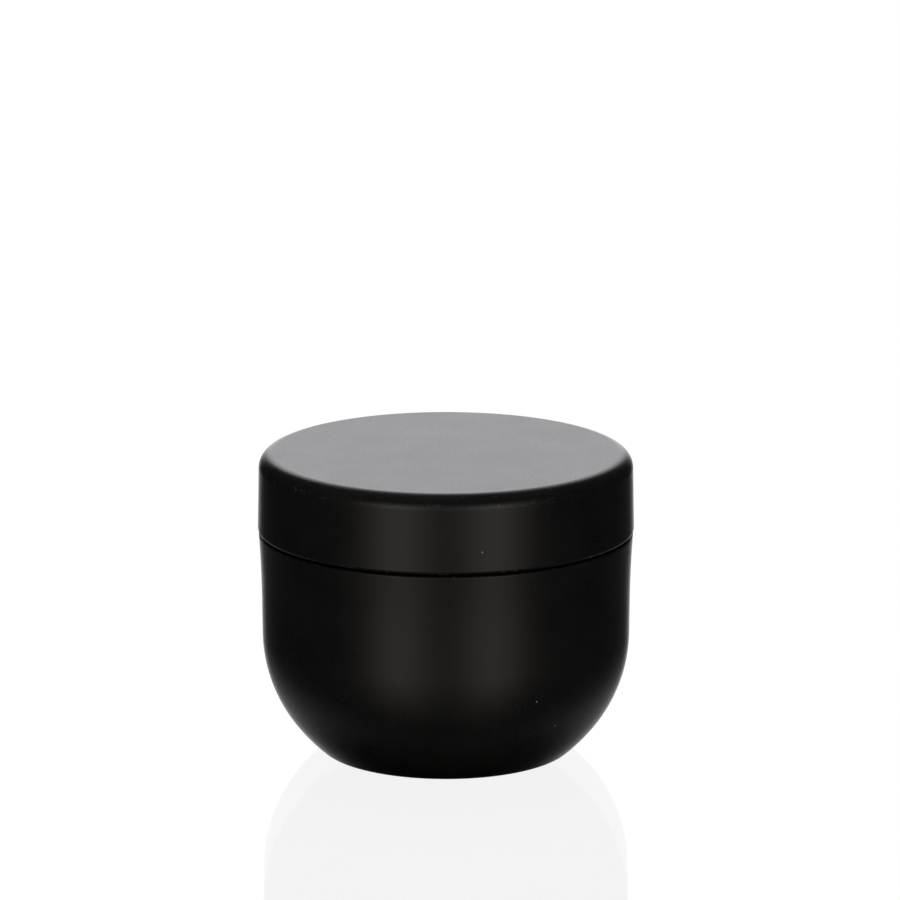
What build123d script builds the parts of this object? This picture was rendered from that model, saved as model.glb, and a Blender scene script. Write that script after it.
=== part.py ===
from build123d import *
import os
from math import acos, asin, atan2, cos, degrees, radians, sin, sqrt

os.makedirs("parts", exist_ok=True)

# A round candle tin: a drawn steel bowl with a necked mouth, and a slip-on lid with a rolled hem.
# Frame: origin at the centre of the base, on the surface it stands on. +Z up. Millimetres.

# ---- overall sizes ----
LID_DIAMETER = 80.0
OVERALL_HEIGHT = 65.05
SHEET = 0.28

# ---- lid ----
LID_HEIGHT = 16.77
LID_TOP_EDGE_RADIUS = 3.24
LID_DRAFT_ANGLE = 1.05
LID_HEM_ROLL_RADIUS = 0.7
LID_HEM_ROLL_TURN = 285.0

# ---- fits between the lid and the tin ----
NECK_CLEARANCE = 0.10
MOUTH_SEAT_CLEARANCE = 0.10
SEAM_GAP = 0.40

# ---- mouth, neck and shoulder of the tin ----
MOUTH_ROLL_RADIUS = 0.7
MOUTH_ROLL_TURN = 285.0
NECK_FOOT_RADIUS = 0.35
SHOULDER_BEND_RADIUS = 0.4
SHOULDER_INSET = 0.19

# ---- wall and bowl of the tin ----
WALL_INSET = 0.89
WALL_DRAFT_ANGLE = 0.73
WALL_STRAIGHT = 7.7
BOWL_HEIGHT = 26.1
UPPER_BOWL_RADIUS = 31.5
UPPER_BOWL_TURN = 37.1
LOWER_BOWL_RADIUS = 39.2
BASE_EDGE_RADIUS = 4.05

# ---- base: standing ring and the panel pushed up inside it ----
STANDING_RING_WIDTH = 1.1
BASE_STEP_RADIUS = 1.0
BASE_PANEL_RISE = 1.2

# ---- angles every round sheet part shares ----
QUARTER_TURN = 90.0
HALF_TURN = 180.0

# ---- heights and radii that the lid and the tin both follow ----
lid_rim_radius = LID_DIAMETER / 2
lid_rim_height = OVERALL_HEIGHT - LID_HEIGHT
lid_corner_height = OVERALL_HEIGHT - LID_TOP_EDGE_RADIUS

# The skirt runs straight from the top edge's bend to the hem's roll, leaning out by the draft.
lid_draft = radians(LID_DRAFT_ANGLE)
bend_to_roll = LID_TOP_EDGE_RADIUS - LID_HEM_ROLL_RADIUS
corner_to_roll_height = lid_corner_height - lid_rim_height - LID_HEM_ROLL_RADIUS
skirt_length = (corner_to_roll_height + bend_to_roll * sin(lid_draft)) / cos(lid_draft)
skirt_spread = skirt_length * sin(lid_draft)
hem_roll_centre_radius = lid_rim_radius - LID_HEM_ROLL_RADIUS
lid_panel_radius = hem_roll_centre_radius - bend_to_roll * cos(lid_draft) - skirt_spread


class SheetSection:
    """Cross-section of a bent sheet, traced along its outer skin in the XZ plane.

    Headings are in degrees, from +X towards +Z. metal_side says where the metal lies, seen along
    the heading: +1 for the left of the outer skin and -1 for the right. A turn to the left is
    positive. A bend's radius is that of the outer skin.
    """

    def __init__(self, x, z, heading, metal_side):
        self.x = x
        self.z = z
        self.heading = heading
        self.metal_side = metal_side
        self.outer_edges = []
        self.inner_edges = []
        self.first_edge = Line(*self.across())

    def across(self):
        """Points on the outer and the inner skin, straight across the sheet."""
        normal = radians(self.heading + QUARTER_TURN * self.metal_side)
        outer = Vector(self.x, 0, self.z)
        inner = outer + Vector(cos(normal), 0, sin(normal)) * SHEET
        return outer, inner

    def straight(self, length):
        """A flat, cylindrical or conical stretch."""
        outer_start, inner_start = self.across()
        self.x += length * cos(radians(self.heading))
        self.z += length * sin(radians(self.heading))
        outer_end, inner_end = self.across()
        self.outer_edges.append(Line(outer_start, outer_end))
        self.inner_edges.append(Line(inner_start, inner_end))

    def bend(self, radius, turn):
        """A bend: both skins turn about one centre, one sheet thickness apart."""
        side = 1 if turn > 0 else -1
        to_centre = radians(self.heading + QUARTER_TURN * side)
        centre = Vector(self.x, 0, self.z) + Vector(cos(to_centre), 0, sin(to_centre)) * radius
        start = degrees(to_centre) + HALF_TURN
        angles = [radians(start), radians(start + turn / 2), radians(start + turn)]
        directions = [Vector(cos(angle), 0, sin(angle)) for angle in angles]
        inner_radius = radius - SHEET * side * self.metal_side
        self.outer_edges.append(ThreePointArc(*[centre + way * radius for way in directions]))
        self.inner_edges.append(ThreePointArc(*[centre + way * inner_radius for way in directions]))
        self.x = centre.X + radius * cos(angles[-1])
        self.z = centre.Z + radius * sin(angles[-1])
        self.heading += turn

    def spin(self):
        """The solid that the section makes when it goes once round the Z axis."""
        last_edge = Line(*self.across())
        section = make_face(self.outer_edges + self.inner_edges + [self.first_edge, last_edge])
        return revolve(section, Axis.Z)


def mouth_roll_centre(neck_radius):
    """Radius and height of the mouth roll's centre: seated under the lid's panel and corner."""
    radius = neck_radius - MOUTH_ROLL_RADIUS
    lid_to_centre = SHEET + MOUTH_SEAT_CLEARANCE + MOUTH_ROLL_RADIUS
    under_panel = OVERALL_HEIGHT - lid_to_centre
    corner_reach = LID_TOP_EDGE_RADIUS - lid_to_centre
    past_corner = max(radius - lid_panel_radius, 0.0)
    under_corner = lid_corner_height + sqrt(corner_reach**2 - past_corner**2)
    return radius, min(under_panel, under_corner)


def build_lid():
    """The lid: flat panel, rounded top edge, drafted skirt and a hem rolled inwards."""
    lid = SheetSection(x=0.0, z=OVERALL_HEIGHT, heading=0.0, metal_side=-1)
    lid.straight(lid_panel_radius)
    lid.bend(LID_TOP_EDGE_RADIUS, LID_DRAFT_ANGLE - QUARTER_TURN)
    lid.straight(skirt_length)
    lid.bend(LID_HEM_ROLL_RADIUS, -LID_HEM_ROLL_TURN)
    return lid.spin()


def trace_base_and_bowl(tin, wall_radius):
    """Adds the bowl's two arcs and the base edge, as far as the wall, with the base inside them."""
    upper_turn = radians(UPPER_BOWL_TURN)
    arc_change = LOWER_BOWL_RADIUS - UPPER_BOWL_RADIUS
    lower_centre_radius = wall_radius - UPPER_BOWL_RADIUS - arc_change * cos(upper_turn)
    lower_centre_height = BOWL_HEIGHT + arc_change * sin(upper_turn)
    arc_to_edge = LOWER_BOWL_RADIUS - BASE_EDGE_RADIUS
    bowl_turn = asin((lower_centre_height - BASE_EDGE_RADIUS) / arc_to_edge)
    ring_outer_radius = lower_centre_radius + arc_to_edge * cos(bowl_turn)

    step_radii = 2 * BASE_STEP_RADIUS + SHEET
    step_turn = acos(1 - BASE_PANEL_RISE / step_radii)
    panel_radius = ring_outer_radius - STANDING_RING_WIDTH - step_radii * sin(step_turn)

    tin.straight(panel_radius)
    tin.bend(BASE_STEP_RADIUS, -degrees(step_turn))
    tin.bend(BASE_STEP_RADIUS + SHEET, degrees(step_turn))
    tin.straight(STANDING_RING_WIDTH)
    tin.bend(BASE_EDGE_RADIUS, QUARTER_TURN - degrees(bowl_turn))
    tin.bend(LOWER_BOWL_RADIUS, degrees(bowl_turn) - UPPER_BOWL_TURN)
    tin.bend(UPPER_BOWL_RADIUS, UPPER_BOWL_TURN - WALL_DRAFT_ANGLE)


def trace_wall_and_shoulder(tin):
    """Adds the drafted wall, the slow flare above it and the bend on to the shoulder's ledge."""
    tin.straight(WALL_STRAIGHT)

    draft = radians(WALL_DRAFT_ANGLE)
    bend_centre_radius = lid_rim_radius - SHOULDER_INSET - SHOULDER_BEND_RADIUS
    bend_centre_height = lid_rim_height - SEAM_GAP - SHOULDER_BEND_RADIUS
    reach, rise = bend_centre_radius - tin.x, bend_centre_height - tin.z
    outward = reach * cos(draft) - rise * sin(draft)
    along = reach * sin(draft) + rise * cos(draft)
    flare = outward + SHOULDER_BEND_RADIUS
    flare_radius = (outward**2 + along**2 - SHOULDER_BEND_RADIUS**2) / (2 * flare)
    flare_turn = degrees(atan2(along, flare_radius - outward))

    tin.bend(flare_radius, -flare_turn)
    tin.bend(SHOULDER_BEND_RADIUS, QUARTER_TURN + WALL_DRAFT_ANGLE + flare_turn)


def build_tin_body():
    """The tin: raised base panel, standing ring, bowl, wall, shoulder, neck and rolled mouth."""
    wall_radius = lid_rim_radius - WALL_INSET
    neck_radius = lid_rim_radius - 2 * LID_HEM_ROLL_RADIUS - NECK_CLEARANCE
    mouth_height = mouth_roll_centre(neck_radius)[1]

    tin = SheetSection(x=0.0, z=BASE_PANEL_RISE, heading=0.0, metal_side=1)
    trace_base_and_bowl(tin, wall_radius)
    trace_wall_and_shoulder(tin)
    tin.straight(tin.x - neck_radius - NECK_FOOT_RADIUS)
    tin.bend(NECK_FOOT_RADIUS, -QUARTER_TURN)
    tin.straight(mouth_height - tin.z)
    tin.bend(MOUTH_ROLL_RADIUS, MOUTH_ROLL_TURN)
    return tin.spin()


export_step(build_tin_body(), "parts/tin_body.step")
export_step(build_lid(), "parts/lid.step")
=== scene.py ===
"""A round candle tin: a drawn steel bowl and a slip-on lid, black outside and bare tin inside.

Everything is in metres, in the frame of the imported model: origin at the centre of the base, +Z up.
Both pieces are one bent sheet each, so one tracer walks a sheet's cross-section (flats and bends)
and one turner carries that section round the Z axis. A light tent, a clear-topped pale floor and
the camera complete the scene.
"""

import logging
import math
from dataclasses import dataclass
from enum import Enum

import bpy
import numpy as np
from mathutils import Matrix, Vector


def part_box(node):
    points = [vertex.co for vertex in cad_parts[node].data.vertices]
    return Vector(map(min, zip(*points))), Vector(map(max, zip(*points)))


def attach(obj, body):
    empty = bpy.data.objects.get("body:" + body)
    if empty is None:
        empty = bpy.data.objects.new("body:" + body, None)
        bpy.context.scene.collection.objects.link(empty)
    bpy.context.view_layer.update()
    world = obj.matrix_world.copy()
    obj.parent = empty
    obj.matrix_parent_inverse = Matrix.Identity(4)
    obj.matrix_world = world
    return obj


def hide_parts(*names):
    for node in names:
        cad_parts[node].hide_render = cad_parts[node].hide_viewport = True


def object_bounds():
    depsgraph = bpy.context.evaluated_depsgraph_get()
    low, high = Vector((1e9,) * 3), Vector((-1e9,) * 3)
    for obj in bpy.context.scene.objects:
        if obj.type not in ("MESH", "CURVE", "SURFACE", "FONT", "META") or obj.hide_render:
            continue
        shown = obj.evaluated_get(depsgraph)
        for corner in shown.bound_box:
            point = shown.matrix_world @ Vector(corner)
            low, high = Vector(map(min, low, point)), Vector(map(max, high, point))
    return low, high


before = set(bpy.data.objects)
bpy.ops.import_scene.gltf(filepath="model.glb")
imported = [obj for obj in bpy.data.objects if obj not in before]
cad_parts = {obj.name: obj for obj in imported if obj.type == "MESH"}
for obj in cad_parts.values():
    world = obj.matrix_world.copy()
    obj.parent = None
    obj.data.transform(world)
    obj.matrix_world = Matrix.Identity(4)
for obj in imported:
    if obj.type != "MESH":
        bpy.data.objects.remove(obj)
CAD_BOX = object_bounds()

MM = 0.001
QUARTER_TURN = math.pi / 2
LEVEL_FROM = 0.93
NO_REACH = 1e-9

log = logging.getLogger("candle_tin")

Socket = bpy.types.NodeSocket
Feed = float | tuple[float, ...] | Socket


class Skin(Enum):
    """The two faces of the sheet and its cut edge; the value is the material's index."""

    OUTSIDE = 0
    INSIDE = 1
    CUT_EDGE = 2


# ---------------------------------------------------------------- sheet sections


@dataclass
class Stretch:
    """Points along the outer skin: places and outward normals (k, 2), wear with painted glint and
    rub (k,).
    """

    places: np.ndarray
    normals: np.ndarray
    wear: np.ndarray
    rub: np.ndarray


class SheetTrace:
    """Walks the outer skin of a bent sheet in the plane of radius and height.

    Headings are in radians from outwards towards up. metal_side is +1 where the metal lies to the
    left of the walk and -1 where it lies to the right.
    """

    def __init__(self, height: float, metal_side: int, thickness: float) -> None:
        """Starts on the axis, heading outwards.

        Args:
            height: height of the outer skin where it meets the axis.
            metal_side: +1 for metal on the left of the walk, -1 for the right.
            thickness: thickness of the sheet.
        """
        self.place = np.array([0.0, height])
        self.heading = 0.0
        self.metal_side = metal_side
        self.thickness = thickness
        self.stretches: list[Stretch] = []
        self._add(np.zeros(1), self.place[None, :], np.zeros(1), 0.0, 0.0)

    def _add(
        self,
        headings: np.ndarray,
        places: np.ndarray,
        share: np.ndarray,
        wear: float,
        rub: float,
    ) -> None:
        """Keeps a stretch; wear with painted glint, and rub, rise and fall as half a sine along it.

        Args:
            headings: heading at each point.
            places: radius and height of each point.
            share: share of the stretch walked at each point.
            wear: most wear, with painted glint, along the stretch.
            rub: most rubbing by the mating piece along the stretch.
        """
        outward = headings - QUARTER_TURN * self.metal_side
        normals = np.stack([np.cos(outward), np.sin(outward)], axis=-1)
        swell = np.sin(np.pi * share)
        self.stretches.append(Stretch(places, normals, wear * swell, rub * np.sqrt(swell)))

    def straight(self, length: float, steps: int = 4, wear: float = 0.0, rub: float = 0.0) -> None:
        """A flat, cylindrical or conical stretch: place = start + heading's direction * distance.

        Args:
            length: distance walked.
            steps: how many faces it gets.
            wear: most wear, with painted glint, along it.
            rub: most rubbing along it.
        """
        share = np.linspace(0.0, 1.0, steps + 1)[1:]
        way = np.array([math.cos(self.heading), math.sin(self.heading)])
        places = self.place + share[:, None] * length * way
        headings = np.full(steps, self.heading)
        self._add(headings, places, share, wear, rub)
        self.place = places[-1]

    def bend(self, radius: float, turn: float, steps: int, wear: float = 0.0) -> None:
        """An arc: place = centre + radius * direction, with the direction turning evenly.

        Args:
            radius: radius of the outer skin.
            turn: angle turned through, in radians, positive to the left.
            steps: how many faces it gets.
            wear: most wear, with painted glint, along it.
        """
        side = math.copysign(1.0, turn)
        share = np.linspace(0.0, 1.0, steps + 1)[1:]
        headings = self.heading + turn * share
        to_centre = self.heading + QUARTER_TURN * side
        centre = self.place + radius * np.array([math.cos(to_centre), math.sin(to_centre)])
        spoke = headings - QUARTER_TURN * side
        places = centre + radius * np.stack([np.cos(spoke), np.sin(spoke)], axis=-1)
        self._add(headings, places, share, wear, 0.0)
        self.place = places[-1]
        self.heading += turn


@dataclass
class Section:
    """A closed cross-section, ready to go round the axis: k points and the k - 1 bands between."""

    places: np.ndarray
    band_normals: np.ndarray
    skins: np.ndarray
    wear: np.ndarray
    rub: np.ndarray
    level: np.ndarray
    metal_side: int

    @classmethod
    def of_sheet(cls, trace: SheetTrace) -> "Section":
        """Closes a traced skin with a parallel one: inner = outer - thickness * outward normal.

        level goes from 0 to 1 as the outer skin's normal comes up from LEVEL_FROM to straight up.

        Args:
            trace: the walked outer skin, from the axis to the sheet's cut edge.

        Returns:
            The section, out along the outer skin and back to the axis along the inner one.
        """
        outer = np.concatenate([s.places for s in trace.stretches])
        normals = np.concatenate([s.normals for s in trace.stretches])
        wear = np.concatenate([s.wear for s in trace.stretches])
        rub = np.concatenate([s.rub for s in trace.stretches])
        level = np.clip((normals[:, 1] - LEVEL_FROM) / (1.0 - LEVEL_FROM), 0.0, 1.0)
        inner = (outer - trace.thickness * normals)[::-1]
        edge = np.array([[math.cos(trace.heading), math.sin(trace.heading)]] * 2)
        outer_bands = np.stack([normals[:-1], normals[1:]], axis=1)
        inner_bands = -outer_bands[::-1, ::-1]
        skins = [Skin.OUTSIDE.value] * len(outer_bands) + [Skin.CUT_EDGE.value]
        skins += [Skin.INSIDE.value] * len(inner_bands)
        return cls(
            places=np.concatenate([outer, inner]),
            band_normals=np.concatenate([outer_bands, edge[None], inner_bands]),
            skins=np.array(skins),
            wear=np.concatenate([wear, np.zeros(len(inner))]),
            rub=np.concatenate([rub, np.zeros(len(inner))]),
            level=np.concatenate([level, np.zeros(len(inner))]),
            metal_side=trace.metal_side,
        )


@dataclass
class Turner:
    """Carries a section once round the Z axis.

    x = radius * cos(angle), y = radius * sin(angle), z = height, on a grid of section points by
    meridians. The two points on the axis are single vertices that close the surface.
    """

    meridians: int = 288

    def turn(self, name: str, section: Section) -> bpy.types.Object:
        """Builds the closed mesh.

        Args:
            name: name of the new piece.
            section: the closed cross-section, whose first and last points lie on the axis.

        Returns:
            The new object, with its normals, UV map and attributes.
        """
        around = self.meridians
        angles = np.arange(around) * (2 * math.pi / around)
        ring_places = section.places[1:-1]
        radius, height = ring_places[:, 0, None], ring_places[:, 1, None]
        rings = np.stack(
            [radius * np.cos(angles), radius * np.sin(angles), height + 0 * angles], axis=-1
        )
        first = [[0.0, 0.0, section.places[0, 1]]]
        last = [[0.0, 0.0, section.places[-1, 1]]]
        points = np.concatenate([first, rings.reshape(-1, 3), last])

        faces, face_bands, face_ends = self._faces(len(section.places), len(points) - 1)
        if section.metal_side < 0:
            faces = [face[::-1] for face in faces]
            face_ends = [end[::-1] for end in face_ends]

        mesh = bpy.data.meshes.new(name)
        mesh.from_pydata(points.tolist(), [], faces)
        mesh.polygons.foreach_set("material_index", section.skins[face_bands].astype(np.int32))
        mesh.polygons.foreach_set("use_smooth", np.ones(len(faces), dtype=bool))
        self._set_normals(mesh, section, face_bands, face_ends)
        self._set_maps(mesh, section, face_bands, face_ends)
        self._set_point_value(mesh, "wear", section.wear)
        self._set_point_value(mesh, "rub", section.rub)
        self._set_point_value(mesh, "level", section.level)
        mesh.validate(clean_customdata=False)
        piece = bpy.data.objects.new(name, mesh)
        bpy.context.scene.collection.objects.link(piece)
        return piece

    def _faces(self, rows: int, last: int) -> tuple[list, np.ndarray, list]:
        """Faces of the grid: triangles at both poles and quads between them.

        Args:
            rows: points in the section, poles included.
            last: index of the last pole's vertex.

        Returns:
            The faces, each face's band, and for each corner whether it is on the band's far side.
        """
        around = self.meridians
        here = np.arange(around)
        then = (here + 1) % around
        rings = rows - 2
        start_fan = np.stack([0 * here, 1 + then, 1 + here], axis=-1)
        base = 1 + (rings - 1) * around
        end_fan = np.stack([base + here, base + then, 0 * here + last], axis=-1)
        row = 1 + np.arange(rings - 1)[:, None] * around
        quads = np.stack(
            [row + here, row + then, row + around + then, row + around + here], axis=-1
        ).reshape(-1, 4)
        faces = start_fan.tolist() + quads.tolist() + end_fan.tolist()
        bands = np.concatenate(
            [np.zeros(around), np.repeat(np.arange(1, rings), around), np.full(around, rings)]
        ).astype(int)
        ends = [[0, 1, 1]] * around + [[0, 0, 1, 1]] * len(quads) + [[0, 0, 1]] * around
        return faces, bands, ends

    def _corners(
        self, mesh: bpy.types.Mesh, bands: np.ndarray, ends: list
    ) -> tuple[np.ndarray, np.ndarray, np.ndarray]:
        """Looks up every face corner.

        Args:
            mesh: the turned mesh.
            bands: each face's band.
            ends: for each face, which side of its band each corner is on.

        Returns:
            Each corner's band, its side of that band and its vertex.
        """
        counts = np.array([len(end) for end in ends])
        vertex = np.zeros(len(mesh.loops), dtype=np.int32)
        mesh.loops.foreach_get("vertex_index", vertex)
        return np.repeat(bands, counts), np.concatenate([np.array(end) for end in ends]), vertex

    def _set_normals(
        self, mesh: bpy.types.Mesh, section: Section, bands: np.ndarray, ends: list
    ) -> None:
        """Corner normals: the section's normal turned to the corner's own angle.

        Args:
            mesh: the turned mesh.
            section: the section it came from.
            bands: each face's band.
            ends: for each face, which side of its band each corner is on.
        """
        corner_band, corner_end, corner_vertex = self._corners(mesh, bands, ends)
        flat = section.band_normals[corner_band, corner_end]
        place = np.zeros(len(mesh.vertices) * 3, dtype=np.float32)
        mesh.vertices.foreach_get("co", place)
        place = place.reshape(-1, 3)[corner_vertex]
        reach = np.maximum(np.hypot(place[:, 0], place[:, 1]), NO_REACH)
        normals = np.stack(
            [flat[:, 0] * place[:, 0] / reach, flat[:, 0] * place[:, 1] / reach, flat[:, 1]],
            axis=-1,
        )
        mesh.normals_split_custom_set(normals.tolist())

    def _set_maps(
        self, mesh: bpy.types.Mesh, section: Section, bands: np.ndarray, ends: list
    ) -> None:
        """UV map: across is the share of the turn, up is the distance walked along the section.

        Args:
            mesh: the turned mesh.
            section: the section it came from.
            bands: each face's band.
            ends: for each face, which side of its band each corner is on.
        """
        steps = np.linalg.norm(np.diff(section.places, axis=0), axis=1)
        run = np.concatenate([[0.0], np.cumsum(steps)]) / MM
        corner_band, corner_end, corner_vertex = self._corners(mesh, bands, ends)
        column = (corner_vertex - 1) % self.meridians
        counts = np.array([len(end) for end in ends])
        widest = np.maximum.reduceat(column, np.cumsum(counts) - counts)
        wraps = (column == 0) & (np.repeat(widest, counts) > 1)
        across = (column + self.meridians * wraps) / self.meridians
        uv = np.stack([across, run[corner_band + corner_end]], axis=-1)
        layer = mesh.uv_layers.new(name="sheet")
        layer.data.foreach_set("uv", uv.astype(np.float32).ravel())

    def _set_point_value(self, mesh: bpy.types.Mesh, name: str, values: np.ndarray) -> None:
        """Spreads a value of each section point to all its meridians.

        Args:
            mesh: the turned mesh.
            name: name of the new attribute.
            values: one value for each point of the section.
        """
        spread = np.concatenate([values[:1], np.repeat(values[1:-1], self.meridians), values[-1:]])
        attribute = mesh.attributes.new(name, "FLOAT", "POINT")
        attribute.data.foreach_set("value", spread.astype(np.float32))


# ---------------------------------------------------------------- shader graphs

MIX_COLOUR_INPUTS = (0, 6, 7)
MIX_COLOUR_OUTPUT = 2
FULL_BUMP = {"Distance": 1.0, "Strength": 1.0}


class Graph:
    """A node tree, written one node at a time."""

    def __init__(self, tree: bpy.types.NodeTree) -> None:
        """Empties the tree."""
        tree.nodes.clear()
        self.tree = tree

    def node(
        self, kind: str, feeds: dict[str | int, Feed] | None = None, **settings: object
    ) -> bpy.types.Node:
        """Adds a node.

        Args:
            kind: the node's type.
            feeds: what each named or numbered input gets: a socket to link or a constant.
            **settings: the node's own properties.

        Returns:
            The new node.
        """
        made = self.tree.nodes.new(kind)
        for name, value in settings.items():
            setattr(made, name, value)
        for key, value in (feeds or {}).items():
            self.feed(made.inputs[key], value)
        return made

    def feed(self, socket: Socket, value: Feed) -> None:
        """Links a socket or sets its constant."""
        if isinstance(value, bpy.types.NodeSocket):
            self.tree.links.new(value, socket)
        else:
            socket.default_value = value

    def math(self, operation: str, *values: Feed, clamp: bool = False) -> Socket:
        """A Math node's result.

        Args:
            operation: the Math node's operation.
            *values: its inputs in order.
            clamp: whether the result is kept from 0 to 1.

        Returns:
            The result's socket.
        """
        feeds = dict(enumerate(values))
        return self.node("ShaderNodeMath", feeds, operation=operation, use_clamp=clamp).outputs[0]

    def fade(
        self, value: Feed, start: float, end: float, low: float = 0.0, high: float = 1.0
    ) -> Socket:
        """Eases from low to high as the value goes from start to end.

        Args:
            value: what is read.
            start: where the fade starts.
            end: where it ends.
            low: result at the start.
            high: result at the end.

        Returns:
            The result's socket.
        """
        feeds = {"Value": value, "From Min": start, "From Max": end, "To Min": low, "To Max": high}
        made = self.node("ShaderNodeMapRange", feeds, interpolation_type="SMOOTHSTEP")
        return made.outputs["Result"]

    def noise(
        self, place: Socket, scale: float, detail: float = 2.0, roughness: float = 0.5
    ) -> Socket:
        """Noise about 0.5 at a place.

        Args:
            place: the coordinates read.
            scale: cells per metre of the coordinates.
            detail: number of finer layers.
            roughness: strength of the finer layers.

        Returns:
            The noise's socket.
        """
        feeds = {"Vector": place, "Scale": scale, "Detail": detail, "Roughness": roughness}
        return self.node("ShaderNodeTexNoise", feeds).outputs[0]

    def blend(self, share: Feed, low: Feed, high: Feed) -> Socket:
        """A colour between two others.

        Args:
            share: 0 for the low colour, 1 for the high one.
            low: one colour.
            high: the other colour.

        Returns:
            The colour's socket.
        """
        made = self.node("ShaderNodeMix", data_type="RGBA")
        for socket, value in zip(MIX_COLOUR_INPUTS, (share, low, high)):
            self.feed(made.inputs[socket], value)
        return made.outputs[MIX_COLOUR_OUTPUT]

    def attribute(self, name: str) -> Socket:
        """A piece's own attribute, as a number."""
        return self.node("ShaderNodeAttribute", attribute_name=name).outputs["Fac"]


Span = tuple[float, float]
Tint = tuple[float, float, float]
Colour = tuple[float, float, float, float]


def opaque(red: float, green: float, blue: float) -> Colour:
    """A linear colour with full alpha."""
    return (red, green, blue, 1.0)


def new_material(name: str) -> tuple[bpy.types.Material, Graph]:
    """Makes an empty material.

    Args:
        name: the material's name.

    Returns:
        The material and its node graph.
    """
    made = bpy.data.materials.new(name)
    made.use_nodes = True
    return made, Graph(made.node_tree)


# ---------------------------------------------------------------- finishes


@dataclass(frozen=True)
class SatinBlackLacquer:
    """Sprayed satin black lacquer: fine orange peel, a little grit, small chips, scuffs, painted
    glints.

    Scales are in cells per metre and depths in metres. An edge is the span of noise over which a
    pattern comes in.
    """

    name: str = "satin_black_lacquer"
    deep: Colour = opaque(0.0046, 0.0045, 0.0045)
    faded: Colour = opaque(0.0058, 0.0057, 0.0056)
    # Lighter colour of chips and scuffs; on the lid's top edge and hem its specks are painted glint,
    # standing in for highlights.
    worn_and_glint: Colour = opaque(0.036, 0.034, 0.032)
    dust: Colour = opaque(0.16, 0.155, 0.15)
    settled: Colour = opaque(0.060, 0.0595, 0.0595)
    refraction: float = 1.5
    roughness: float = 0.30
    roughness_spread: float = 0.012
    grit_spread: float = 0.02
    polish: float = 0.08
    mottle_scale: float = 90.0
    mottle_colour_edge: Span = (0.35, 0.65)
    mottle_gloss_edge: Span = (0.25, 0.75)
    grit_scale: float = 2200.0
    grit_edge: Span = (0.3, 0.7)
    grit_depth: float = 9.0e-6
    peel_scale: float = 1500.0
    peel_depth: float = 1.2e-6
    # Spots shared by real chips and by painted glint specks.
    chip_and_glint_scale: float = 900.0
    chip_and_glint_edge: Span = (0.57, 0.65)
    streak_scale: Tint = (420.0, 0.12, 1.0)
    streak_edge: Span = (0.50, 0.75)
    settled_scale: float = 2600.0
    settled_edge: Span = (0.42, 0.78)
    dust_scale: float = 260.0
    dust_radius: float = 0.055
    dust_pick: float = 0.93

    def material(self) -> bpy.types.Material:
        """Builds the material.

        Returns:
            The lacquer, reading Object coordinates and the sheet's wear with painted glint, rub and
            level.
        """
        made, graph = new_material(self.name)
        place = graph.node("ShaderNodeTexCoord").outputs["Object"]
        mottle = graph.noise(place, self.mottle_scale, detail=3.0)
        grit = graph.noise(place, self.grit_scale, detail=1.0)
        peel = graph.noise(place, self.peel_scale, detail=1.0)

        mottled = graph.fade(mottle, *self.mottle_colour_edge)
        base = graph.blend(mottled, self.deep, self.faded)
        # Wear and rub lighten the lacquer in spots; along the lid's top edge and hem these spots are
        # mostly painted glint.
        chip_and_glint_noise = graph.noise(place, self.chip_and_glint_scale, detail=3.0, roughness=0.7)
        chip_and_glint_spots = graph.fade(chip_and_glint_noise, *self.chip_and_glint_edge)
        wear = graph.math("MULTIPLY", graph.attribute("wear"), chip_and_glint_spots)
        rub = graph.math("MULTIPLY", graph.attribute("rub"), self._streaks(graph))
        tired_and_glint = graph.math("MAXIMUM", wear, rub)
        colour = graph.blend(tired_and_glint, base, self.worn_and_glint)
        colour = graph.blend(self._settled_dust(graph, place), colour, self.settled)
        colour = graph.blend(self._specks(graph, place), colour, self.dust)

        low, high = self.roughness - self.roughness_spread, self.roughness + self.roughness_spread
        roughness = graph.fade(mottle, *self.mottle_gloss_edge, low, high)
        fine = graph.fade(grit, *self.grit_edge, -self.grit_spread, self.grit_spread)
        roughness = graph.math("ADD", roughness, fine)
        polished = graph.math("MULTIPLY", tired_and_glint, self.polish)
        roughness = graph.math("SUBTRACT", roughness, polished, clamp=True)

        relief = graph.math("MULTIPLY", peel, self.peel_depth)
        relief = graph.math("ADD", relief, graph.math("MULTIPLY", grit, self.grit_depth))
        bump = graph.node("ShaderNodeBump", {"Height": relief, **FULL_BUMP})

        shader = graph.node(
            "ShaderNodeBsdfPrincipled",
            {
                "Base Color": colour,
                "Roughness": roughness,
                "Normal": bump.outputs[0],
                "IOR": self.refraction,
            },
        )
        graph.node("ShaderNodeOutputMaterial", {"Surface": shader.outputs[0]})
        return made

    def _streaks(self, graph: Graph) -> Socket:
        """Upright scuffs: noise that is fine across the sheet and long along it."""
        sheet = graph.node("ShaderNodeUVMap", uv_map="sheet").outputs[0]
        scaled = graph.node("ShaderNodeMapping", {"Vector": sheet, "Scale": self.streak_scale})
        return graph.fade(graph.noise(scaled.outputs[0], 1.0, detail=3.0), *self.streak_edge)

    def _settled_dust(self, graph: Graph, place: Socket) -> Socket:
        """Fine grains that lie only where the sheet is level and faces up."""
        grains = graph.noise(place, self.settled_scale, detail=2.0)
        share = graph.fade(grains, *self.settled_edge)
        return graph.math("MULTIPLY", share, graph.attribute("level"))

    def _specks(self, graph: Graph, place: Socket) -> Socket:
        """Sparse dust: the hearts of a few cells picked by their random colour."""
        cells = graph.node("ShaderNodeTexVoronoi", {"Vector": place, "Scale": self.dust_scale})
        heart = graph.math("LESS_THAN", cells.outputs["Distance"], self.dust_radius)
        pick = graph.node("ShaderNodeSeparateColor", {"Color": cells.outputs["Color"]}).outputs[0]
        return graph.math("MULTIPLY", heart, graph.math("GREATER_THAN", pick, self.dust_pick))


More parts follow.
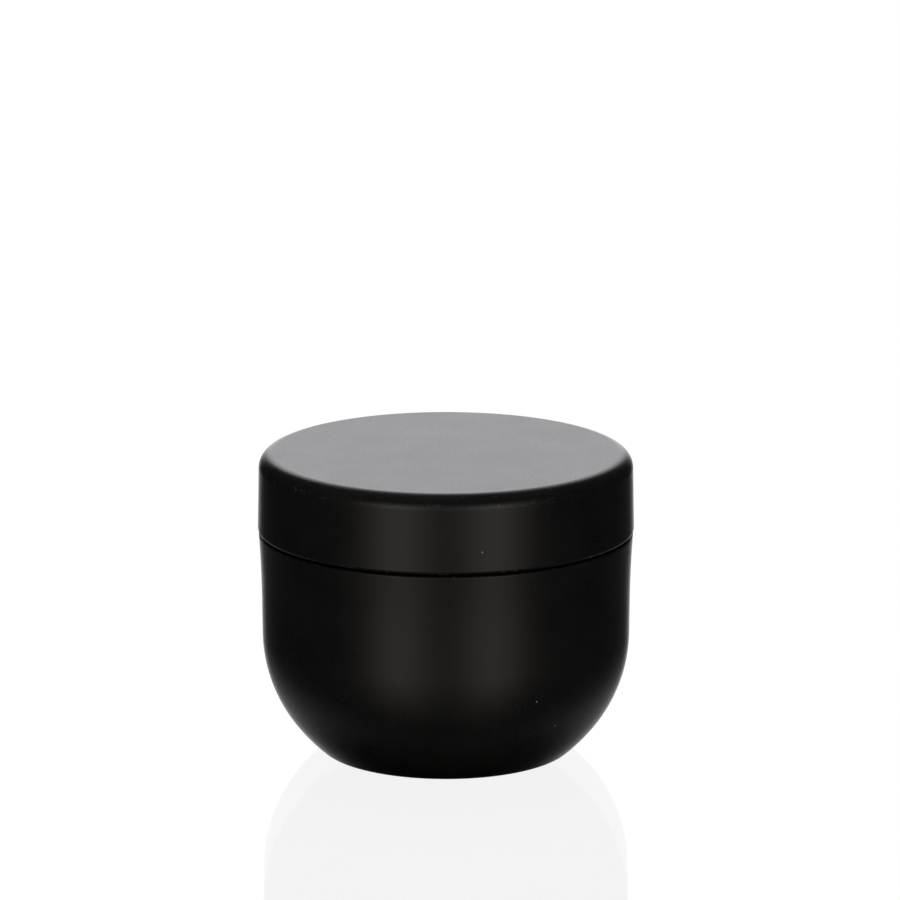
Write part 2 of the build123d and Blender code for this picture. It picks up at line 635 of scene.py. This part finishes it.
@dataclass(frozen=True)
class BareTinplate:
    """Tinplate under clear lacquer: dull metal with fine rings left by the drawing press."""

    name: str = "bare_tinplate"
    bright: Colour = opaque(0.78, 0.77, 0.74)
    dull: Colour = opaque(0.64, 0.63, 0.61)
    metallic: float = 0.5
    roughness: Span = (0.24, 0.38)
    ring_scale: Tint = (0.0, 5.0, 1.0)
    ring_edge: Span = (0.3, 0.7)
    ring_depth: float = 2.0e-6
    crystal_scale: float = 350.0
    crystal_depth: float = 1.5e-6
    cloud_scale: float = 70.0
    cloud_edge: Span = (0.3, 0.7)
    coat: float = 0.4
    coat_roughness: float = 0.12

    def material(self) -> bpy.types.Material:
        """Builds the material.

        Returns:
            The metal, with rings that follow the sheet's section.
        """
        made, graph = new_material(self.name)
        place = graph.node("ShaderNodeTexCoord").outputs["Object"]
        rings = self._rings(graph)
        cloud = graph.noise(place, self.cloud_scale, detail=3.0)
        crystal = graph.node(
            "ShaderNodeTexVoronoi", {"Vector": place, "Scale": self.crystal_scale}
        ).outputs["Distance"]

        colour = graph.blend(graph.fade(cloud, *self.cloud_edge), self.dull, self.bright)
        roughness = graph.fade(rings, *self.ring_edge, *self.roughness)
        relief = graph.math("MULTIPLY", rings, self.ring_depth)
        relief = graph.math("ADD", relief, graph.math("MULTIPLY", crystal, self.crystal_depth))
        bump = graph.node("ShaderNodeBump", {"Height": relief, **FULL_BUMP})
        shader = graph.node(
            "ShaderNodeBsdfPrincipled",
            {
                "Base Color": colour,
                "Metallic": self.metallic,
                "Roughness": roughness,
                "Normal": bump.outputs[0],
                "Coat Weight": self.coat,
                "Coat Roughness": self.coat_roughness,
            },
        )
        graph.node("ShaderNodeOutputMaterial", {"Surface": shader.outputs[0]})
        return made

    def _rings(self, graph: Graph) -> Socket:
        """Rings: noise that changes fast along the section and not at all round it."""
        sheet = graph.node("ShaderNodeUVMap", uv_map="sheet").outputs[0]
        scaled = graph.node("ShaderNodeMapping", {"Vector": sheet, "Scale": self.ring_scale})
        return graph.noise(scaled.outputs[0], 1.0, detail=4.0, roughness=0.65)


@dataclass(frozen=True)
class CutSteel:
    """The sheared edge of the sheet."""

    name: str = "cut_steel"
    colour: Colour = opaque(0.42, 0.42, 0.43)
    roughness: Span = (0.35, 0.6)
    grain_scale: float = 6000.0
    grain_edge: Span = (0.3, 0.7)

    def material(self) -> bpy.types.Material:
        """Builds the material.

        Returns:
            Dull steel with the grain of the shears.
        """
        made, graph = new_material(self.name)
        place = graph.node("ShaderNodeTexCoord").outputs["Object"]
        grain = graph.noise(place, self.grain_scale, detail=2.0)
        roughness = graph.fade(grain, *self.grain_edge, *self.roughness)
        shader = graph.node(
            "ShaderNodeBsdfPrincipled",
            {"Base Color": self.colour, "Metallic": 1.0, "Roughness": roughness},
        )
        graph.node("ShaderNodeOutputMaterial", {"Surface": shader.outputs[0]})
        return made


@dataclass(frozen=True)
class SheetFinish:
    """The three finishes of a lacquered sheet, in the order of Skin."""

    outside: bpy.types.Material
    inside: bpy.types.Material
    cut_edge: bpy.types.Material

    @classmethod
    def mixed(cls) -> "SheetFinish":
        """Makes the black, bare and cut finishes once, for both pieces."""
        return cls(
            SatinBlackLacquer().material(), BareTinplate().material(), CutSteel().material()
        )

    def dress(self, piece: bpy.types.Object) -> None:
        """Puts the finishes on a piece."""
        for material in (self.outside, self.inside, self.cut_edge):
            piece.data.materials.append(material)


# ---------------------------------------------------------------- the two pieces


class SheetPiece:
    """A piece bent from one sheet: its section goes once round the axis."""

    name: str
    body: str
    node: str
    slot: str

    def section(self) -> Section:
        """Walks the piece's sheet; each kind of piece has its own walk."""
        raise NotImplementedError

    def build(self, turner: Turner, finish: SheetFinish) -> bpy.types.Object:
        """Makes, dresses and places the piece.

        Args:
            turner: turns the section into a mesh.
            finish: the sheet's finishes.

        Returns:
            The finished piece.
        """
        piece = turner.turn(self.name, self.section())
        finish.dress(piece)
        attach(piece, self.body)
        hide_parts(self.node)
        return piece


@dataclass
class Lid(SheetPiece):
    """The slip-on lid: flat panel, rounded top edge, drafted skirt and a hem rolled inwards."""

    top_height: float
    rim_height: float
    rim_radius: float
    sheet: float = 0.28 * MM
    top_edge_radius: float = 3.24 * MM
    hem_roll_radius: float = 0.7 * MM
    hem_roll_turn: float = math.radians(285.0)
    draft: float = math.radians(1.05)
    name: str = "lid_shell"
    body: str = "lid"
    node: str = "lid"
    slot: str = "lid_lacquer"

    @classmethod
    def from_frame(cls) -> "Lid":
        """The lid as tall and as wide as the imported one."""
        low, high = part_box("lid")
        return cls(top_height=high.z, rim_height=low.z, rim_radius=(high.x - low.x) / 2)

    def skirt_length(self) -> float:
        """Length of the straight skirt, tangent to the top edge's bend and to the hem's roll."""
        drop = self.top_height - self.top_edge_radius - self.rim_height - self.hem_roll_radius
        change = self.top_edge_radius - self.hem_roll_radius
        return (drop + change * math.sin(self.draft)) / math.cos(self.draft)

    def panel_radius(self) -> float:
        """Radius of the flat panel inside the rounded edge."""
        change = self.top_edge_radius - self.hem_roll_radius
        spread = self.skirt_length() * math.sin(self.draft)
        return self.rim_radius - self.hem_roll_radius - change * math.cos(self.draft) - spread

    def section(self) -> Section:
        """Walks the lid from the middle of its panel to the cut edge inside its hem."""
        trace = SheetTrace(self.top_height, metal_side=-1, thickness=self.sheet)
        trace.straight(self.panel_radius(), steps=12)
        crown = math.radians(60.0)
        trace.bend(self.top_edge_radius, -crown, steps=16, wear=0.15)
        # The lighter spots on this lower part of the top edge's bend are painted glint: specks
        # standing in for highlights where the skirt begins.
        trace.bend(self.top_edge_radius, crown + self.draft - QUARTER_TURN, steps=8, wear=0.6)
        trace.straight(self.skirt_length(), steps=8)
        front = QUARTER_TURN
        # The lighter spots on the hem's front quarter are painted highlight: they make the lid's
        # lower edge read lighter.
        trace.bend(self.hem_roll_radius, -front, steps=14, wear=0.9)
        trace.bend(self.hem_roll_radius, front - self.hem_roll_turn, steps=28, wear=0.5)
        return Section.of_sheet(trace)


@dataclass
class TinBody(SheetPiece):
    """The tin: raised base panel, standing ring, bowl, wall, shoulder, neck and rolled mouth."""

    mouth_height: float
    shoulder_radius: float
    rim_height: float
    rim_radius: float
    sheet: float = 0.28 * MM
    hem_roll_radius: float = 0.7 * MM
    neck_clearance: float = 0.10 * MM
    seam_gap: float = 0.40 * MM
    mouth_roll_radius: float = 0.7 * MM
    mouth_roll_turn: float = math.radians(285.0)
    neck_foot_radius: float = 0.35 * MM
    shoulder_bend_radius: float = 0.4 * MM
    wall_inset: float = 0.89 * MM
    wall_draft: float = math.radians(0.73)
    wall_straight: float = 7.7 * MM
    bowl_height: float = 26.1 * MM
    upper_bowl_radius: float = 31.5 * MM
    upper_bowl_turn: float = math.radians(37.1)
    lower_bowl_radius: float = 39.2 * MM
    base_edge_radius: float = 4.05 * MM
    standing_ring_width: float = 1.1 * MM
    base_step_radius: float = 1.0 * MM
    base_panel_rise: float = 1.2 * MM
    name: str = "tin_shell"
    body: str = "tin"
    node: str = "tin_body"
    slot: str = "body_lacquer"

    @classmethod
    def from_frame(cls) -> "TinBody":
        """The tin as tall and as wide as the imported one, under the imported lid."""
        low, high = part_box("tin_body")
        lid_low, lid_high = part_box("lid")
        return cls(
            mouth_height=high.z,
            shoulder_radius=(high.x - low.x) / 2,
            rim_height=lid_low.z,
            rim_radius=(lid_high.x - lid_low.x) / 2,
        )

    def wall_radius(self) -> float:
        """Radius of the straight wall."""
        return self.rim_radius - self.wall_inset

    def neck_radius(self) -> float:
        """Radius of the neck, which slides inside the lid's hem."""
        return self.rim_radius - 2 * self.hem_roll_radius - self.neck_clearance

    def _base_and_bowl(self, trace: SheetTrace) -> None:
        """Walks the base panel, its step, the standing ring and the bowl's tangent arcs."""
        change = self.lower_bowl_radius - self.upper_bowl_radius
        centre_radius = self.wall_radius() - self.upper_bowl_radius
        centre_radius -= change * math.cos(self.upper_bowl_turn)
        centre_height = self.bowl_height + change * math.sin(self.upper_bowl_turn)
        arc_to_edge = self.lower_bowl_radius - self.base_edge_radius
        bowl_turn = math.asin((centre_height - self.base_edge_radius) / arc_to_edge)
        ring_radius = centre_radius + arc_to_edge * math.cos(bowl_turn)

        step_radii = 2 * self.base_step_radius + self.sheet
        step_turn = math.acos(1 - self.base_panel_rise / step_radii)
        panel_radius = ring_radius - self.standing_ring_width - step_radii * math.sin(step_turn)

        trace.straight(panel_radius, steps=8)
        trace.bend(self.base_step_radius, -step_turn, steps=8)
        trace.bend(self.base_step_radius + self.sheet, step_turn, steps=8)
        trace.straight(self.standing_ring_width, steps=4, wear=0.9)
        trace.bend(self.base_edge_radius, QUARTER_TURN - bowl_turn, steps=8, wear=0.5)
        trace.bend(self.lower_bowl_radius, bowl_turn - self.upper_bowl_turn, steps=14)
        trace.bend(self.upper_bowl_radius, self.upper_bowl_turn - self.wall_draft, steps=28)

    def _wall_and_shoulder(self, trace: SheetTrace) -> None:
        """Walks the drafted wall, the slow flare above it and the bend on to the ledge."""
        trace.straight(self.wall_straight, steps=4)
        bend = self.shoulder_bend_radius
        reach = self.shoulder_radius - bend - trace.place[0]
        rise = self.rim_height - self.seam_gap - bend - trace.place[1]
        outward = reach * math.cos(self.wall_draft) - rise * math.sin(self.wall_draft)
        along = reach * math.sin(self.wall_draft) + rise * math.cos(self.wall_draft)
        flare_radius = (outward**2 + along**2 - bend**2) / (2 * (outward + bend))
        flare_turn = math.atan2(along, flare_radius - outward)
        trace.bend(flare_radius, -flare_turn, steps=14)
        trace.bend(bend, QUARTER_TURN + self.wall_draft + flare_turn, steps=14, wear=0.8)

    def section(self) -> Section:
        """Walks the tin from the middle of its base to the cut edge inside its mouth's roll."""
        trace = SheetTrace(self.base_panel_rise, metal_side=1, thickness=self.sheet)
        self._base_and_bowl(trace)
        self._wall_and_shoulder(trace)
        trace.straight(trace.place[0] - self.neck_radius() - self.neck_foot_radius, steps=1)
        trace.bend(self.neck_foot_radius, -QUARTER_TURN, steps=6)
        roll_height = self.mouth_height - self.mouth_roll_radius
        trace.straight(roll_height - trace.place[1], steps=10, rub=0.8)
        trace.bend(self.mouth_roll_radius, self.mouth_roll_turn, steps=36, wear=0.8)
        return Section.of_sheet(trace)


# ---------------------------------------------------------------- studio


@dataclass
class ClearToppedFloor:
    """A pale floor under a clear sheet: both surfaces mirror the object faintly."""

    half_width: float = 6.0
    drop: float = 0.02 * MM
    clear_depth: float = 3.53 * MM
    top_mirror: float = 0.070
    white_mirror: float = 0.028
    mirror_roughness: float = 0.02
    glow: Colour = opaque(1.0, 1.0, 1.0)
    lit: Colour = opaque(0.92, 0.92, 0.92)
    shadow_share: float = 0.03

    def build(self) -> None:
        """Makes both surfaces; reflections on the object don't see them."""
        top = self._plane("floor_clear_top", -self.drop, self._clear_material())
        white = self._plane("floor_white", -self.drop - self.clear_depth, self._white_material())
        for plane in (top, white):
            plane.visible_glossy = False
            plane.visible_shadow = False

    def _plane(self, name: str, height: float, material: bpy.types.Material) -> bpy.types.Object:
        """A level square.

        Args:
            name: name of the plane.
            height: its height.
            material: its material.

        Returns:
            The plane's object.
        """
        corners = np.array([[-1, -1, 0], [1, -1, 0], [1, 1, 0], [-1, 1, 0]]) * self.half_width
        mesh = bpy.data.meshes.new(name)
        mesh.from_pydata((corners + [0, 0, height]).tolist(), [], [[0, 1, 2, 3]])
        mesh.materials.append(material)
        plane = bpy.data.objects.new(name, mesh)
        bpy.context.scene.collection.objects.link(plane)
        return plane

    def _clear_material(self) -> bpy.types.Material:
        """Lets everything through but a faint mirror image."""
        made, graph = new_material("clear_sheet")
        through = graph.node("ShaderNodeBsdfTransparent").outputs[0]
        mirror = graph.node("ShaderNodeBsdfGlossy", {"Roughness": self.mirror_roughness}).outputs[0]
        is_camera = graph.node("ShaderNodeLightPath").outputs["Is Camera Ray"]
        share = graph.math("MULTIPLY", is_camera, self.top_mirror)
        mix = graph.node("ShaderNodeMixShader", {0: share, 1: through, 2: mirror})
        self._finish_from_above(graph, mix.outputs[0])
        return made

    def _white_material(self) -> bpy.types.Material:
        """White that glows for the camera, keeps part of each shadow and mirrors faintly."""
        made, graph = new_material("white_sheet")
        lit = graph.node("ShaderNodeBsdfDiffuse", {"Color": self.lit}).outputs[0]
        glow = graph.node("ShaderNodeEmission", {"Color": self.glow, "Strength": 1.0}).outputs[0]
        is_camera = graph.node("ShaderNodeLightPath").outputs["Is Camera Ray"]
        glow_share = graph.math("MULTIPLY", is_camera, 1.0 - self.shadow_share)
        pale = graph.node("ShaderNodeMixShader", {0: glow_share, 1: lit, 2: glow}).outputs[0]
        mirror = graph.node("ShaderNodeBsdfGlossy", {"Roughness": self.mirror_roughness}).outputs[0]
        share = graph.math("MULTIPLY", is_camera, self.white_mirror)
        mix = graph.node("ShaderNodeMixShader", {0: share, 1: pale, 2: mirror})
        self._finish_from_above(graph, mix.outputs[0])
        return made

    def _finish_from_above(self, graph: Graph, surface: Socket) -> None:
        """Ends a floor material: seen from above only, so the base can be looked at from below.

        Args:
            graph: the material's node tree.
            surface: the shader seen from above.
        """
        below = graph.node("ShaderNodeNewGeometry").outputs["Backfacing"]
        nothing = graph.node("ShaderNodeBsdfTransparent").outputs[0]
        sided = graph.node("ShaderNodeMixShader", {0: below, 1: surface, 2: nothing})
        graph.node("ShaderNodeOutputMaterial", {"Surface": sided.outputs[0]})


@dataclass
class LightTent:
    """The studio's light by direction: tall bright backdrop, two dim strips in front, dark sides.

    Bearings are in degrees from straight in front of the object (0) to straight behind it (180);
    rises are in degrees above the horizon.
    """

    backdrop_light: float = 1.62
    backdrop_half_width: Span = (0.16, 0.34)
    backdrop_rise: Span = (8.0, 64.0)
    backdrop_foot: Span = (-32.0, -8.0)
    strip_light: float = 0.72
    strip_heart: float = 0.46
    strip_heart_rise: Span = (8.0, 13.0)
    strip_bearing: float = 29.5
    strip_width: float = 17.0
    strip_foot: Span = (-58.0, -3.0)
    strip_top: Span = (16.0, 40.0)
    front_light: float = 0.08
    front_half_width: Span = (5.0, 60.0)
    floor_glow: float = 0.37
    floor_glow_bearing: float = 160.0
    floor_glow_fall: float = 45.0
    floor_glow_rise: Span = (-26.0, 0.34)
    floor_glow_width: float = 10.0
    side_light: float = 0.012
    side_foot: Span = (-50.0, -30.0)
    white: Tint = (1.0, 1.0, 1.03)
    warm: Tint = (1.0, 0.91, 0.82)
    lamp_height: float = 0.9
    lamp_width: float = 0.8
    lamp_watts: float = 9.0

    def build(self) -> None:
        """Makes the world and the overhead softbox."""
        world = bpy.data.worlds.new("light_tent")
        bpy.context.scene.world = world
        world.use_nodes = True
        graph = Graph(world.node_tree)
        tent = self._paint(graph)
        is_camera = graph.node("ShaderNodeLightPath").outputs["Is Camera Ray"]
        seen = graph.blend(is_camera, tent, opaque(1.0, 1.0, 1.0))
        sky = graph.node("ShaderNodeBackground", {"Color": seen, "Strength": 1.0})
        graph.node("ShaderNodeOutputWorld", {"Surface": sky.outputs[0]})
        self._softbox()

    def _paint(self, graph: Graph) -> Socket:
        """Writes the tent's brightness by direction.

        Backdrop: fades by sideways reach, top and foot. Floor's glow: a bell in rise whose middle
        climbs with the bearing, times an exponential of the bearing. Strips: a bell in bearing
        plus the front's fade, times a fade and a bell in rise.

        Args:
            graph: the world's node tree.

        Returns:
            The tent's colour.
        """
        direction = graph.node("ShaderNodeTexCoord").outputs["Generated"]
        sideways, forward, upward = graph.node("ShaderNodeSeparateXYZ", {0: direction}).outputs
        aside = graph.math("ABSOLUTE", sideways)
        in_front = graph.math("MULTIPLY", forward, -1.0)
        bearing = graph.math("DEGREES", graph.math("ARCTAN2", aside, in_front))
        rise = graph.math("DEGREES", graph.math("ARCSINE", upward))

        backdrop = graph.fade(aside, *self.backdrop_half_width, 1.0, 0.0)
        backdrop = graph.math("MULTIPLY", backdrop, graph.math("GREATER_THAN", forward, 0.0))
        tall = graph.fade(rise, *self.backdrop_rise, self.backdrop_light, 0.0)
        tall = graph.math("MULTIPLY", tall, graph.fade(rise, *self.backdrop_foot))
        backdrop = graph.math("MULTIPLY", backdrop, tall)
        aft = graph.math("SUBTRACT", bearing, self.floor_glow_bearing)
        glow_rise, glow_slope = self.floor_glow_rise
        middle = graph.math("MULTIPLY_ADD", aft, glow_slope, glow_rise)
        glow = self._bell(graph, rise, middle, self.floor_glow_width)
        fall = graph.math("EXPONENT", graph.math("DIVIDE", aft, self.floor_glow_fall))
        glow = graph.math("MULTIPLY", graph.math("MULTIPLY", glow, fall), self.floor_glow)
        sides = graph.fade(rise, *self.side_foot, 0.0, self.side_light)
        pale = graph.math("ADD", graph.math("ADD", backdrop, glow), sides)

        foot = graph.fade(rise, *self.strip_foot, 0.0, self.strip_light)
        heart = self._bell(graph, rise, *self.strip_heart_rise)
        upright = graph.math("MULTIPLY_ADD", heart, self.strip_heart, foot)
        strip = self._bell(graph, bearing, self.strip_bearing, self.strip_width)
        front = graph.fade(bearing, *self.front_half_width, self.front_light, 0.0)
        strip = graph.math("ADD", strip, front)
        strip = graph.math("MULTIPLY", strip, upright)
        strip = graph.math("MULTIPLY", strip, graph.fade(rise, *self.strip_top, 1.0, 0.0))

        paler = graph.node(
            "ShaderNodeVectorMath", {0: self.white, "Scale": pale}, operation="SCALE"
        )
        warmer = graph.node(
            "ShaderNodeVectorMath", {0: self.warm, "Scale": strip}, operation="SCALE"
        )
        both = {0: paler.outputs[0], 1: warmer.outputs[0]}
        return graph.node("ShaderNodeVectorMath", both, operation="ADD").outputs[0]

    def _bell(self, graph: Graph, value: Socket, middle: Feed, width: float) -> Socket:
        """A bell curve: exp(-((value - middle) / width)^2).

        Args:
            graph: the world's node tree.
            value: what is read.
            middle: where the bell is 1.
            width: how far off it has fallen to 1 / e.

        Returns:
            The bell's socket.
        """
        off = graph.math("DIVIDE", graph.math("SUBTRACT", value, middle), width)
        squared = graph.math("MULTIPLY", off, off)
        return graph.math("EXPONENT", graph.math("MULTIPLY", squared, -1.0))

    def _softbox(self) -> None:
        """A wide lamp overhead, which gives the soft shadow; gloss doesn't see it."""
        lamp = bpy.data.lights.new("overhead_softbox", "AREA")
        lamp.shape = "SQUARE"
        lamp.size = self.lamp_width
        lamp.energy = self.lamp_watts
        stand = bpy.data.objects.new("overhead_softbox", lamp)
        stand.location = (0.0, 0.0, self.lamp_height)
        stand.visible_camera = False
        stand.visible_glossy = False
        bpy.context.scene.collection.objects.link(stand)


@dataclass
class CameraStand:
    """A long lens looking slightly down on the tin."""

    distance: float = 1.6
    elevation: float = math.radians(14.699)
    aim_up: float = math.radians(1.146)
    aim_right: float = math.radians(0.032)
    lens: float = 300.1
    sensor: float = 36.0
    clip: Span = (0.05, 50.0)

    def build(self, middle_height: float) -> None:
        """Makes the camera: level with the object's middle line, then aimed a little off it.

        Args:
            middle_height: height of the middle of the object.
        """
        data = bpy.data.cameras.new("camera")
        data.lens = self.lens
        data.sensor_width = self.sensor
        data.clip_start, data.clip_end = self.clip
        camera = bpy.data.objects.new("camera", data)
        reach = self.distance * math.cos(self.elevation)
        lift = self.distance * math.sin(self.elevation)
        camera.location = (0.0, -reach, middle_height + lift)
        pitch = QUARTER_TURN - self.elevation + self.aim_up
        camera.rotation_euler = (pitch, 0.0, -self.aim_right)
        bpy.context.scene.collection.objects.link(camera)
        bpy.context.scene.camera = camera


def main() -> None:
    """Builds the object and its studio."""
    logging.basicConfig(level=logging.INFO, format="%(name)s: %(message)s")
    turner = Turner()
    finish = SheetFinish.mixed()
    for maker in (TinBody.from_frame(), Lid.from_frame()):
        piece = maker.build(turner, finish)
        log.info("%s: %d faces, replaces %s", piece.name, len(piece.data.polygons), maker.node)

    ClearToppedFloor().build()
    LightTent().build()
    CameraStand().build(middle_height=(CAD_BOX[0].z + CAD_BOX[1].z) / 2)
    bpy.context.scene.view_settings.view_transform = "Standard"


if __name__ == "__main__":
    main()
